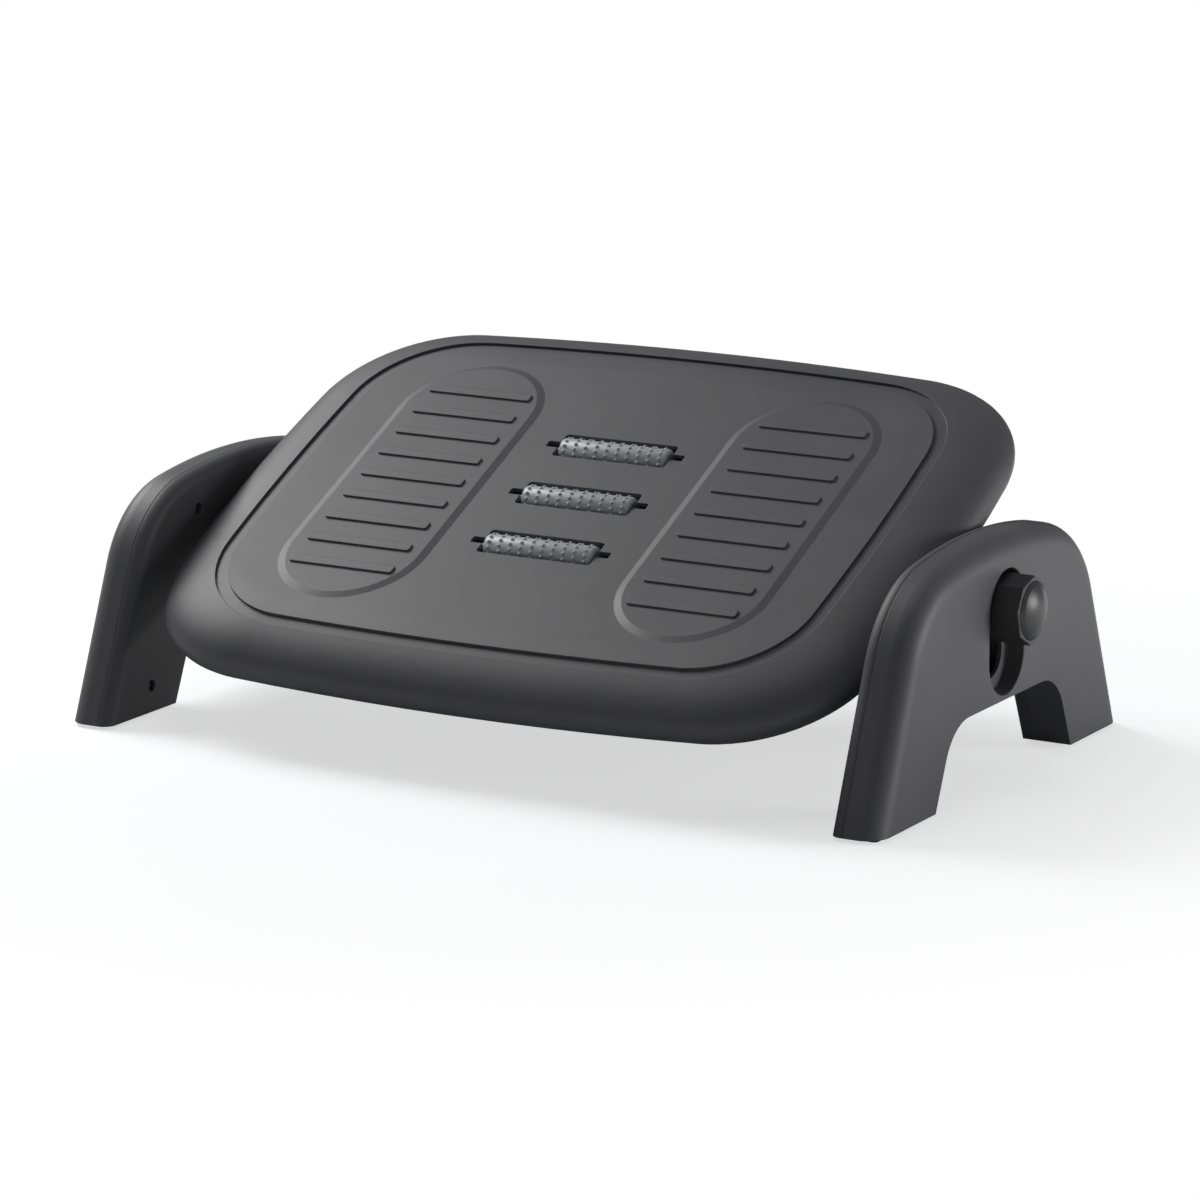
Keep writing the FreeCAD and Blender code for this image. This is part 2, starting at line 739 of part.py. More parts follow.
def foot_pads():
    # Two rubber feet pressed into the shell's recesses.
    body_shapes = []
    for side in (1, -1):
        wire = Part.Wire(Part.__sortEdges__([edge.toShape() for edge in pad_edges(side, 0)]))
        solid = Part.Face(wire).extrude(Vector(0, 0, size("pad_thickness")))
        soles = [edge for edge in solid.Edges if edge.BoundBox.ZMax < 1e-6]
        body_shapes.append(solid.makeFillet(size("pad_soft"), soles))
    return feature_from("foot_pads_right", Part.makeCompound(body_shapes))


def leg_place(obj):
    # Everything that stands still is modelled about the tilt axis in Y.
    obj.Placement = Placement(Vector(0, size("axis_back"), 0), Rotation())
    bind(obj, ".Placement.Base.y", "Sizes.axis_back")


# Height slide

BLOCK_START = PLATE_BACK + " + Sizes.fit"


def slide_block():
    # A slippery moulded block that runs between the guide rails and is the hub's bearing.
    body = new_body("slide_block_right")
    outline = new_sketch(body, "YZ_Plane", "block_outline", BLOCK_START)
    half_y = size("block_width") / 2
    half_z = size("block_tall") / 2
    outline.addGeometry(rounded_box(0, 0, half_y, half_z, size("block_corner")))
    pad(body, outline, "block", TRACK_BACK + " - Sizes.fit - (" + BLOCK_START + ")")
    bore_sketch = new_sketch(body, "YZ_Plane", "bore_outline", BLOCK_START)
    radius = size("journal_radius") + size("running")
    add_circle(bore_sketch, 0, 0, "Sizes.journal_radius + Sizes.running", radius)
    doc.recompute()
    before = body.Shape.Volume
    pocket(body, bore_sketch, "bearing_bore", "Sizes.leg_thickness", True)
    must_cut(body, before, "bearing bore")
    return body


def friction_washer():
    # A thin acetal washer between the track plate and the shoulder of the hub.
    body = new_body("friction_washer_right")
    ring = new_sketch(body, "YZ_Plane", "washer_outline", TRACK_FACE + " + Sizes.running")
    add_circle(ring, 0, 0, "Sizes.washer_radius", size("washer_radius"))
    add_circle(ring, 0, 0, "Sizes.journal_radius + Sizes.fit", size("journal_radius") + size("fit"))
    pad(body, ring, "washer", "Sizes.washer_thickness")
    return body


def slide_place(obj):
    obj.Placement = Placement(Vector(0, size("axis_back"), size("axis_height")), Rotation())
    bind(obj, ".Placement.Base.y", "Sizes.axis_back")
    bind(obj, ".Placement.Base.z", "Sizes.axis_height")


# Hub, bolt, spring and button, all about the tilt axis

HUB_SHOULDER = TRACK_FACE + " + Sizes.washer_thickness + 2 * Sizes.running"


def button_floor():
    # The shelf that carries the spring, under the pushed button.
    return outer_face() + size("hub_proud") - size("button_skirt") - size("button_travel") - size("fit")


def octagon(radius, turn):
    corners = []
    for k in range(8):
        angle = math.radians(22.5 + 45 * k - turn)
        corners.append((radius * math.cos(angle), radius * math.sin(angle)))
    return [line(*(corners[k] + corners[(k + 1) % 8])) for k in range(8)]


def lock_hub():
    # The moulded octagonal hub: a journal, a tongue for the bracket, and wells for bolt and button.
    body = new_body("lock_hub_right")
    journal = new_sketch(body, "YZ_Plane", "journal_outline", "Sizes.barrel_end")
    add_circle(journal, 0, 0, "Sizes.journal_radius", size("journal_radius"))
    pad(body, journal, "journal", HUB_SHOULDER + " - Sizes.barrel_end + 1")
    head = new_sketch(body, "YZ_Plane", "octagon_outline", HUB_SHOULDER)
    head.addGeometry(octagon(size("hub_radius"), size("hub_turn")))
    pad(body, head, "octagon", HUB_END + " - (" + HUB_SHOULDER + ")")
    doc.recompute()
    tongue = new_sketch(body, "YZ_Plane", "tongue_outline", "Sizes.barrel_end - Sizes.tongue_length")
    half = size("tongue_half")
    thick = size("tongue_thickness") / 2
    add_rectangle(tongue, -half, -thick, half, thick)
    joined = pad(body, tongue, "tongue", "Sizes.tongue_length + 0.5")
    doc.recompute()
    end = outer_face() + size("hub_proud")

    def rim(edge, middle):
        return abs(middle.x - end) < 1e-4 and edge.BoundBox.XLength < 1e-4
    fillet(body, joined, "octagon_edge", "Sizes.edge_break", rim)
    doc.recompute()
    before = body.Shape.Volume
    bore = new_sketch(body, "YZ_Plane", "bolt_hole_outline", "Sizes.barrel_end - Sizes.tongue_length - 1")
    add_circle(bore, 0, 0, "Sizes.bolt_radius + Sizes.running", size("bolt_radius") + size("running"))
    pocket(body, bore, "bolt_hole", "Sizes.leg_thickness * 2", True)
    well = new_sketch(body, "YZ_Plane", "well_outline", "Sizes.well_floor")
    add_circle(well, 0, 0, "Sizes.well_radius", size("well_radius"))
    pocket(body, well, "bolt_well", "Sizes.leg_thickness", True)
    shelf = HUB_END + " - Sizes.button_skirt - Sizes.button_travel - Sizes.fit"
    mouth = new_sketch(body, "YZ_Plane", "mouth_outline", shelf)
    radius = size("button_radius") + size("button_gap")
    add_circle(mouth, 0, 0, "Sizes.button_radius + Sizes.button_gap", radius)
    pocket(body, mouth, "button_well", "Sizes.leg_thickness", True)
    ways = new_sketch(body, "YZ_Plane", "lug_way_outline", shelf)
    inner = size("button_radius") - 1
    outer = size("button_radius") + size("lug_reach") + size("button_gap")
    half = size("lug_width") / 2 + size("button_gap")
    for side in (1, -1):
        add_rectangle(ways, side * inner, -half, side * outer, half)
    pocket(body, ways, "lug_ways", "Sizes.button_travel + Sizes.lug_tall + 2 * Sizes.fit", True)
    must_cut(body, before, "hub wells")
    return body


def height_button():
    # The domed button that slides in the hub, with a hollow skirt and two retaining lugs.
    body = new_body("height_button_right")
    profile = new_sketch(body, "XZ_Plane", "button_profile")
    rim = outer_face() + size("hub_proud")
    low = rim - size("button_skirt")
    radius = size("button_radius")
    dome = size("button_dome")
    wall = size("button_wall")
    edge = size("button_bevel")
    top_radius = (radius - edge) ** 2 / (2 * (dome - edge)) + (dome - edge) / 2
    centre = rim + dome - top_radius
    sweep = math.asin((radius - edge) / top_radius)
    roof = rim + edge - wall
    profile.addGeometry([
        line(low, radius, rim, radius),
        line(rim, radius, rim + edge, radius - edge),
        arc(centre, 0, top_radius, 0, sweep),
        line(rim + dome, 0, roof, 0),
        line(roof, 0, roof, radius - wall),
        line(roof, radius - wall, low, radius - wall),
        line(low, radius - wall, low, radius)])
    turned = body.newObject("PartDesign::Revolution", "button_turned")
    turned.Profile = profile
    turned.ReferenceAxis = (profile, ["H_Axis"])
    turned.Angle = 360
    lugs = new_sketch(body, "YZ_Plane", "lug_outline", HUB_END + " - Sizes.button_skirt")
    inner = size("button_radius") - size("button_wall") / 2
    outer = size("button_radius") + size("lug_reach")
    half = size("lug_width") / 2
    for side in (1, -1):
        add_rectangle(lugs, side * inner, -half, side * outer, half)
    pad(body, lugs, "lugs", "Sizes.lug_tall")
    return body


def pivot_bolt():
    # The steel pivot bolt, its hexagon head in the hub's well.
    seat = size("well_floor")
    tall = size("bolt_head_tall")
    radius = size("bolt_radius")
    tip = size("bolt_tip")
    end = size("barrel_start") - tip
    corners = []
    for k in range(7):
        angle = math.radians(60 * k)
        corners.append(Vector(seat, size("bolt_head") * math.cos(angle), size("bolt_head") * math.sin(angle)))
    head = Part.Face(Part.makePolygon(corners)).extrude(Vector(tall, 0, 0))
    wide = size("bolt_head") + tall
    cone = Part.makeCone(wide, size("bolt_head") - 1, tall, Vector(seat, 0, 0), Vector(1, 0, 0))
    point = Part.makeCone(radius - 1, radius, tip, Vector(end, 0, 0), Vector(1, 0, 0))
    shank = point.fuse(axis_rod(radius, end + tip, seat - end - tip)).removeSplitter()
    return feature_from("pivot_bolt_right", head.common(cone).fuse(shank).removeSplitter())


def hexagon_corner():
    return size("nut_across") / 2 / math.cos(math.radians(30))


def pivot_nut():
    # The nut in the inner end of the bracket's barrel.
    body = new_body("pivot_nut_right")
    outline = new_sketch(body, "YZ_Plane", "nut_outline", "Sizes.barrel_start + Sizes.running")
    outline.addGeometry(hexagon(hexagon_corner()))
    add_circle(outline, 0, 0, "Sizes.bolt_radius + Sizes.running", size("bolt_radius") + size("running"))
    pad(body, outline, "nut", "Sizes.nut_tall")
    return body


def return_spring():
    # The space the button's coil spring takes, from the hub's shelf to the button's roof.
    roof = outer_face() + size("hub_proud") + size("button_bevel") - size("button_wall")
    length = roof - button_floor()
    outer = axis_rod(size("spring_radius") + size("spring_wire"), button_floor(), length)
    inner = axis_rod(size("spring_radius") - size("spring_wire"), button_floor(), length)
    return feature_from("return_spring_right", outer.cut(inner))


def tilted():
    turn = Rotation(Vector(1, 0, 0), size("tilt"))
    return Placement(Vector(0, size("axis_back"), size("axis_height")), turn)


def tilt_place(obj):
    # Everything that tilts is modelled level, about the tilt axis.
    obj.Placement = tilted()
    bind(obj, ".Placement.Base.y", "Sizes.axis_back")
    bind(obj, ".Placement.Base.z", "Sizes.axis_height")
    bind(obj, ".Placement.Rotation.Angle", "Sizes.tilt")


# Outline of the platform

def bowed_outline(half_x, half_y, corner, side_bow, end_bow):
    # A rectangle with bowed sides and round corners: eight arcs, each tangent to the next.
    side = Vector(half_x - side_bow, 0, 0)
    end = Vector(0, half_y - end_bow, 0)
    to_side = side_bow - corner
    to_end = end_bow - corner
    apart = (end - side).Length
    along = (to_side ** 2 - to_end ** 2 + apart ** 2) / (2 * apart)
    off = math.sqrt(to_side ** 2 - along ** 2)
    way = (end - side) * (1 / apart)
    centre = side + way * along + Vector(way.y, -way.x, 0) * off
    if centre.x < 0 or centre.y < 0:
        centre = side + way * along - Vector(way.y, -way.x, 0) * off
    low = math.atan2(centre.y, centre.x - side.x)
    high = math.atan2(centre.y - end.y, centre.x)
    half = math.pi
    return [arc(side.x, 0, side_bow, -low, low),
            arc(centre.x, centre.y, corner, low, high),
            arc(0, end.y, end_bow, high, half - high),
            arc(-centre.x, centre.y, corner, half - high, half - low),
            arc(-side.x, 0, side_bow, half - low, half + low),
            arc(-centre.x, -centre.y, corner, half + low, half + high),
            arc(0, -end.y, end_bow, half + high, 2 * half - high),
            arc(centre.x, -centre.y, corner, 2 * half - high, 2 * half - low)]


def rim_station(share, below, inset):
    # Half sizes and corner of the outline at a share of the way from flat top to widest line,
    # or, below that line, tucked in by a share of the rim's turn.
    wide = size("tread_width") / 2
    deep = size("tread_depth") / 2
    flat_x = size("crown_width") / 2
    flat_y = size("crown_depth") / 2
    tuck = size("rim_tuck") * below
    half_x = flat_x + (wide - flat_x) * share - tuck - inset
    half_y = flat_y + (deep - flat_y) * share - tuck - inset
    corner = size("crown_corner") + (size("tread_corner") - size("crown_corner")) * share - tuck * 0.8 - inset
    return half_x, half_y, corner


def station_sketch(body, name, station, level):
    sketch = new_sketch(body, "XY_Plane", name, "%.6f" % level)
    sketch.addGeometry(bowed_outline(*station, size("tread_side_bow"), size("tread_end_bow")))
    return sketch


def loft(body, kind, name, sketches):
    feature = body.newObject("PartDesign::" + kind, name)
    feature.Profile = sketches[0]
    feature.Sections = sketches[1:]
    feature.Ruled = False
    return feature


# Stations of the pillow rim, in degrees from the flat top: fine outside, coarse inside.
OUTER_ANGLES = [90, 72, 54, 38, 24, 11, 0]
INNER_ANGLES = [90, 60, 32, 12, 0]


def widest():
    return size("tread_top") - size("rim_drop")


def joint_level():
    return widest() - size("part_drop")


def under_share(level):
    # Share of the rim's turn at a level below the widest line, on a quarter ellipse.
    down = min(1, (widest() - level) / size("rim_under"))
    return 1 - math.sqrt(1 - down * down)


def upper_stations(inset, angles):
    # From the joint up over the widest line to the flat top.
    drop = size("rim_drop")
    stations = []
    for part in (1, 0.5):
        level = widest() - size("part_drop") * part
        stations.append((rim_station(1, under_share(level), inset), level))
    for angle in angles:
        turn = math.radians(angle)
        level = widest() + (drop - inset) * math.cos(turn)
        stations.append((rim_station(math.sin(turn), 0, inset), level))
    return stations


def lower_stations(inset):
    # From the rim's lowest line up to the joint.
    stations = []
    for part in (1, 0.93, 0.8, 0.64):
        level = widest() - size("rim_under") * part
        stations.append((rim_station(1, under_share(level), inset), level))
    stations.append((rim_station(1, under_share(joint_level()), inset), joint_level()))
    return stations


def lofted(body, kind, name, stations):
    sketches = []
    for number, (station, level) in enumerate(stations):
        sketches.append(station_sketch(body, "%s_ring_%d" % (name, number), station, level))
    return loft(body, kind, name, sketches)


# Screw places on the platform, across and along its slope.
TRAY_SCREWS = [(x, y) for x in (-48, 48) for y in (-66, 66)]
BRACKET_SCREWS = [(162, -27), (162, 27), (200, -27), (200, 27)]
LEFT_BRACKET_SCREWS = [(-x, y) for x, y in BRACKET_SCREWS]
PAN_SCREWS = [(-165, -102), (165, -102), (-165, 102), (165, 102), (-70, -122),
              (70, -122), (-70, 122), (70, 122), (-105, 0), (105, 0)]


def platform_void():
    # The hollow under the top moulding: its inner form, less the ribs and the screw bosses.
    body = new_body("platform_void")
    inner = upper_stations(size("tread_wall"), INNER_ANGLES)
    lofted(body, "AdditiveLoft", "void", inner)
    skirt = station_sketch(body, "void_skirt_outline", *inner[0])
    pad(body, skirt, "void_skirt", "2", True)
    doc.recompute()
    before = body.Shape.Volume
    half = size("rib_wall") / 2
    pitch = size("rib_pitch")
    wide = size("tread_width") / 2
    deep = size("tread_depth") / 2
    floor = "%.6f" % (joint_level() - 3)
    across = new_sketch(body, "XY_Plane", "cross_rib_outline", floor)
    for k in range(-1, 2):
        add_rectangle(across, -wide, k * pitch - half, wide, k * pitch + half)
    pocket(body, across, "cross_ribs", "Sizes.tread_top", True)
    must_cut(body, before, "cross ribs")
    before = body.Shape.Volume
    along = new_sketch(body, "XY_Plane", "long_rib_outline", floor)
    for k in range(-2, 3):
        add_rectangle(along, k * pitch - half, -deep, k * pitch + half, deep)
    pocket(body, along, "long_ribs", "Sizes.tread_top", True)
    must_cut(body, before, "long ribs")
    before = body.Shape.Volume
    bosses = new_sketch(body, "XY_Plane", "void_boss_outline", floor)
    boss_circles(bosses, PAN_SCREWS + BRACKET_SCREWS + LEFT_BRACKET_SCREWS)
    pocket(body, bosses, "void_bosses", "Sizes.tread_top", True)
    must_cut(body, before, "void bosses")
    return body


def groove_form():
    # A ring that stands on the pillow form lowered by the depth of the channel.
    floor = new_body("groove_floor")
    lofted(floor, "AdditiveLoft", "groove_pillow", upper_stations(size("groove_deep"), OUTER_ANGLES))
    body = new_body("groove_form")
    ring = new_sketch(body, "XY_Plane", "groove_outline", "Sizes.tread_top - Sizes.rim_drop / 2")
    outer = (size("groove_wide") / 2, size("groove_long") / 2, size("groove_corner"))
    narrow = [value - size("groove_width") for value in outer]
    ring.addGeometry(bowed_outline(*outer, size("groove_side_bow"), size("groove_end_bow")))
    ring.addGeometry(bowed_outline(*narrow, size("groove_side_bow"), size("groove_end_bow")))
    pad(body, ring, "groove_ring", "Sizes.rim_drop")
    doc.recompute()
    before = body.Shape.Volume
    stand = body.newObject("PartDesign::Boolean", "groove_stand")
    stand.setObjects([floor])
    stand.Type = "Cut"
    must_cut(body, before, "groove stand")
    return body


def roller_places():
    return [-size("roller_pitch"), 0, size("roller_pitch")]


def tread():
    # The top moulding of the platform: flat top, pillow rim, foot pads, grip bars and slots.
    void = platform_void()
    body = new_body("tread_top")
    lofted(body, "AdditiveLoft", "pillow", upper_stations(0, OUTER_ANGLES))
    doc.recompute()
    before = body.Shape.Volume
    channel = body.newObject("PartDesign::Boolean", "groove")
    channel.setObjects([groove_form()])
    channel.Type = "Cut"
    must_cut(body, before, "groove")
    before = body.Shape.Volume
    hollow = body.newObject("PartDesign::Boolean", "hollow")
    hollow.setObjects([void])
    hollow.Type = "Cut"
    must_cut(body, before, "platform hollow")

    before = body.Shape.Volume
    floor = "%.6f" % (joint_level() - 1)
    bay = new_sketch(body, "XY_Plane", "tray_bay_outline", floor)
    half_x = size("tray_half_x") + size("fit")
    half_y = size("tray_half_y") + size("fit")
    bay.addGeometry(rounded_box(0, 0, half_x, half_y, size("tray_corner")))
    pocket(body, bay, "tray_bay", "Sizes.tread_top - Sizes.tread_wall - (" + floor + ")", True)
    must_cut(body, before, "tray bay")
    before = body.Shape.Volume
    saddle = new_sketch(body, "XY_Plane", "bracket_bay_outline", floor)
    for side in (1, -1):
        add_rectangle(saddle, side * (size("bracket_in") - 2), -size("bracket_half") - 2,
                      side * (size("bracket_out") + 2), size("bracket_half") + 2)
    pocket(body, saddle, "bracket_bays", "Sizes.bracket_top - (" + floor + ")", True)
    must_cut(body, before, "bracket bays")
    before = body.Shape.Volume
    hub_way = new_sketch(body, "YZ_Plane", "hub_way_outline", "-Sizes.leg_span / 2")
    reach = size("barrel_radius") + size("notch_gap")
    add_circle(hub_way, 0, 0, "Sizes.barrel_radius + Sizes.notch_gap", reach)
    pocket(body, hub_way, "hub_way", "Sizes.leg_span", True)
    must_cut(body, before, "hub way")

    holders = new_sketch(body, "XY_Plane", "tray_boss_outline", "Sizes.tray_floor + Sizes.tray_wall")
    boss_circles(holders, TRAY_SCREWS)
    reach = "Sizes.tread_top - Sizes.tray_floor - Sizes.tray_wall - Sizes.tread_wall / 2"
    pad(body, holders, "tray_bosses", reach)
    doc.recompute()

    top = "Sizes.tread_top"
    reach = size("footpad_reach")
    half = size("footpad_half")
    slope = size("footpad_slope")
    rings = []
    for number, (grow, level) in enumerate(((slope / 2, top), (-slope / 2, top + " + Sizes.footpad_rise"))):
        ring = new_sketch(body, "XY_Plane", "footpad_ring_%d" % number, level)
        ring.addGeometry(rounded_box(size("footpad_out"), 0, half + grow, reach + grow, half + grow))
        rings.append(ring)
    plateau = loft(body, "AdditiveLoft", "footpad", rings)
    doc.recompute()
    flip = body.newObject("PartDesign::Mirrored", "left_footpad")
    flip.Originals = [plateau]
    flip.MirrorPlane = (plane_of(body, "YZ_Plane"), [""])
    body.Tip = flip
    doc.recompute()
    bars = new_sketch(body, "XY_Plane", "bar_outline", top + " + Sizes.footpad_rise / 2")
    first = -4 * size("bar_pitch")
    thin = size("bar_width") / 2
    for side in (1, -1):
        middle = side * size("footpad_out")
        bars.addGeometry(rounded_box(middle, first, size("bar_half"), thin, size("bar_corner")))
    bar = pad(body, bars, "grip_bar", "Sizes.footpad_rise / 2 + Sizes.bar_rise")
    doc.recompute()
    row = body.newObject("PartDesign::LinearPattern", "grip_bars")
    row.Originals = [bar]
    row.Direction = (bars, ["V_Axis"])
    bind(row, "Length", "8 * Sizes.bar_pitch")
    row.Occurrences = 9
    body.Tip = row
    doc.recompute()

    before = body.Shape.Volume
    slots = new_sketch(body, "XY_Plane", "roller_slot_outline", top + " + 1")
    notches = new_sketch(body, "XY_Plane", "axle_notch_outline", top + " + 1")
    for y in roller_places():
        slots.addGeometry(rounded_box(0, y, size("roller_slot"), size("roller_slot_half"), 2))
        notches.addGeometry(rounded_box(0, y, size("axle_notch"), size("axle_notch_half"), 1))
    pocket(body, slots, "roller_slots", "Sizes.tread_wall + 2")
    pocket(body, notches, "axle_notches", "Sizes.tread_wall + 2")
    must_cut(body, before, "roller slots")
    before = body.Shape.Volume
    for name, places, level, deep in (
            ("pan_pilots", PAN_SCREWS, floor, "Sizes.screw_length"),
            ("bracket_pilots", BRACKET_SCREWS + LEFT_BRACKET_SCREWS, floor, "Sizes.screw_length + 2"),
            ("tray_pilots", TRAY_SCREWS, "Sizes.tray_floor + Sizes.tray_wall - 1", "Sizes.screw_length - 1")):
        pilots = new_sketch(body, "XY_Plane", name + "_outline", level)
        shank_circles(pilots, places, "running")
        pocket(body, pilots, name, deep, True)
    must_cut(body, before, "pilot holes")
    return body


def under_pan():
    # The bottom moulding of the platform: a shallow pan whose rim carries on the pillow's curve.
    body = new_body("under_pan")
    lofted(body, "AdditiveLoft", "bowl", lower_stations(0))
    doc.recompute()
    before = body.Shape.Volume
    wall = size("tread_wall")
    inner = []
    base = widest() - size("rim_under") + wall
    for part in (0, 0.3, 0.65, 1):
        level = base + (joint_level() - base) * part
        inner.append((rim_station(1, under_share(level), wall), level))
    lofted(body, "SubtractiveLoft", "bowl_hollow", inner)
    must_cut(body, before, "pan hollow")
    bosses = new_sketch(body, "XY_Plane", "pan_boss_outline", "%.6f" % (base - wall / 2))
    boss_circles(bosses, PAN_SCREWS)
    pad(body, bosses, "pan_bosses", "%.6f" % (joint_level() - base + wall / 2))
    doc.recompute()
    before = body.Shape.Volume
    low = "%.6f" % (base - wall - 1)
    heads = new_sketch(body, "XY_Plane", "pan_head_outline", low)
    head_circles(heads, PAN_SCREWS)
    depth = joint_level() - size("head_seat") - base + wall + 1
    pocket(body, heads, "pan_head_recesses", "%.6f" % depth, True)
    shanks = new_sketch(body, "XY_Plane", "pan_shank_outline", low)
    shank_circles(shanks, PAN_SCREWS, "fit")
    pocket(body, shanks, "pan_shank_holes", "Sizes.tread_top", True)
    must_cut(body, before, "pan holes")
    before = body.Shape.Volume
    reach = size("barrel_radius") + size("notch_gap")
    saddle = new_sketch(body, "XY_Plane", "saddle_outline", low)
    for side in (1, -1):
        add_rectangle(saddle, side * (size("barrel_start") - 6), -reach, side * size("leg_span") / 2, reach)
    pocket(body, saddle, "hub_saddles", "Sizes.tread_top", True)
    must_cut(body, before, "hub saddles")
    return body


def roller_tray():
    # The tub under the rollers, with two walls whose snap cradles hold the axles.
    body = new_body("roller_tray")
    outline = new_sketch(body, "XY_Plane", "tray_outline", "Sizes.tray_floor")
    outline.addGeometry(rounded_box(0, 0, size("tray_half_x"), size("tray_half_y"), size("tray_corner")))
    pad(body, outline, "tray_block", "Sizes.tread_top - Sizes.tread_wall - Sizes.tray_floor")
    doc.recompute()
    before = body.Shape.Volume
    wall = size("tray_wall")
    hollow = new_sketch(body, "XY_Plane", "tray_hollow_outline", "Sizes.tray_floor + Sizes.tray_wall")
    half_x = size("tray_half_x") - wall
    half_y = size("tray_half_y") - wall
    hollow.addGeometry(rounded_box(0, 0, half_x, half_y, size("tray_corner") - wall))
    pocket(body, hollow, "tray_hollow", "Sizes.tread_top", True)
    must_cut(body, before, "tray hollow")
    cradles = new_sketch(body, "XY_Plane", "cradle_outline", "Sizes.tray_floor + Sizes.tray_wall / 2")
    near = size("roller_half") + size("cradle_gap")
    reach = size("roller_pitch") + size("cradle_over")
    for side in (1, -1):
        add_rectangle(cradles, side * near, -reach, side * (near + size("cradle_wall")), reach)
    pad(body, cradles, "cradles", "Sizes.cradle_top - Sizes.tray_floor - Sizes.tray_wall / 2")
    doc.recompute()
    before = body.Shape.Volume
    seats = new_sketch(body, "YZ_Plane", "seat_outline", "-Sizes.axle_notch")
    for y in roller_places():
        radius = size("axle_radius") + size("running")
        add_circle(seats, y, size("roller_axis"), "Sizes.axle_radius + Sizes.running", radius)
    pocket(body, seats, "axle_seats", "2 * Sizes.axle_notch", True)
    must_cut(body, before, "axle seats")
    before = body.Shape.Volume
    holes = new_sketch(body, "XY_Plane", "tray_hole_outline", "Sizes.tray_floor - 1")
    shank_circles(holes, TRAY_SCREWS, "fit")
    pocket(body, holes, "tray_holes", "Sizes.tray_wall + 2", True)
    must_cut(body, before, "tray holes")
    return body


def pivot_bracket():
    # The moulded bracket that joins the platform to its hub: flange, barrel and gussets.
    body = new_body("pivot_bracket_right")
    near = size("bracket_in")
    far = size("bracket_out")
    half = size("bracket_half")
    flange = new_sketch(body, "XY_Plane", "flange_outline", "Sizes.bracket_top - Sizes.bracket_plate")
    flange.addGeometry(rounded_box((near + far) / 2, 0, (far - near) / 2, half, 6))
    pad(body, flange, "flange", "Sizes.bracket_plate")
    barrel = new_sketch(body, "YZ_Plane", "barrel_outline", "Sizes.barrel_start")
    add_circle(barrel, 0, 0, "Sizes.barrel_radius", size("barrel_radius"))
    pad(body, barrel, "barrel", "Sizes.barrel_end - Sizes.barrel_start")
    gusset = new_sketch(body, "YZ_Plane", "gusset_outline", "Sizes.barrel_start")
    low = size("bracket_top") - size("bracket_plate") + 0.5
    radius = size("barrel_radius")
    for side in (1, -1):
        root = side * radius * 0.5
        edge = side * size("gusset_reach")
        waist = side * radius * 0.85
        foot = size("gusset_foot")
        gusset.addGeometry([line(root, low, edge, low), line(edge, low, waist, foot),
                            line(waist, foot, root, low)])
    pad(body, gusset, "gussets", "Sizes.bracket_plate")
    doc.recompute()
    before = body.Shape.Volume
    bore = new_sketch(body, "YZ_Plane", "bracket_bore_outline", "Sizes.barrel_start - 1")
    add_circle(bore, 0, 0, "Sizes.bolt_radius + Sizes.running", size("bolt_radius") + size("running"))
    pocket(body, bore, "bolt_bore", "Sizes.leg_span / 4", True)
    must_cut(body, before, "bolt bore")
    before = body.Shape.Volume
    trap = new_sketch(body, "YZ_Plane", "nut_trap_outline", "Sizes.barrel_start - 1")
    trap.addGeometry(hexagon(hexagon_corner() + size("running")))
    pocket(body, trap, "nut_trap", "Sizes.nut_tall + 2 * Sizes.running + 1", True)
    must_cut(body, before, "nut trap")
    before = body.Shape.Volume
    level = "Sizes.barrel_end - Sizes.tongue_length - Sizes.fit"
    mortise = new_sketch(body, "YZ_Plane", "mortise_outline", level)
    long = size("tongue_half") + size("running")
    thick = size("tongue_thickness") / 2 + size("running")
    add_rectangle(mortise, -long, -thick, long, thick)
    pocket(body, mortise, "tongue_mortise", "Sizes.tongue_length + 2", True)
    must_cut(body, before, "mortise")
    before = body.Shape.Volume
    holes = new_sketch(body, "XY_Plane", "flange_hole_outline", "0")
    shank_circles(holes, BRACKET_SCREWS, "fit")
    pocket(body, holes, "flange_holes", "Sizes.tread_top", True)
    must_cut(body, before, "flange holes")
    return body


def upward_screws(label, places, seat):
    # Screws driven upward, the underside of their heads at the seat's level.
    one = screw_shape()
    one.rotate(Vector(0, 0, 0), Vector(0, 1, 0), -90)
    group = []
    for x, y in places:
        copy = one.copy()
        copy.translate(Vector(x, y, seat))
        group.append(copy)
    return feature_from(label, Part.makeCompound(group))


def massage_roller(label, y):
    # A roller turned with rings of nubs, bored for its axle.
    body = new_body(label)
    profile = new_sketch(body, "XY_Plane", label + "_profile", "Sizes.roller_axis")
    drum = size("roller_radius")
    nub = size("nub_rise")
    half = size("roller_half")
    bore = size("axle_radius") + size("running")
    rings = int(size("nub_rings"))
    pitch = 2 * half / rings
    soft = size("edge_break")
    thin = size("nub_width") / 2
    points = [(-half, bore), (-half, drum - soft), (-half + soft, drum)]
    for k in range(rings):
        middle = -half + pitch * (k + 0.5)
        points += [(middle - thin, drum), (middle, drum + nub), (middle + thin, drum)]
    points += [(half - soft, drum), (half, drum - soft), (half, bore)]
    points = [(x, y + radius) for x, radius in points]
    profile.addGeometry([line(*(points[k] + points[(k + 1) % len(points)])) for k in range(len(points))])
    profile.addGeometry(line(-half, y, half, y), True)
    turned = body.newObject("PartDesign::Revolution", label + "_turned")
    turned.Profile = profile
    turned.ReferenceAxis = (profile, ["Axis0"])
    turned.Angle = 360
    return body


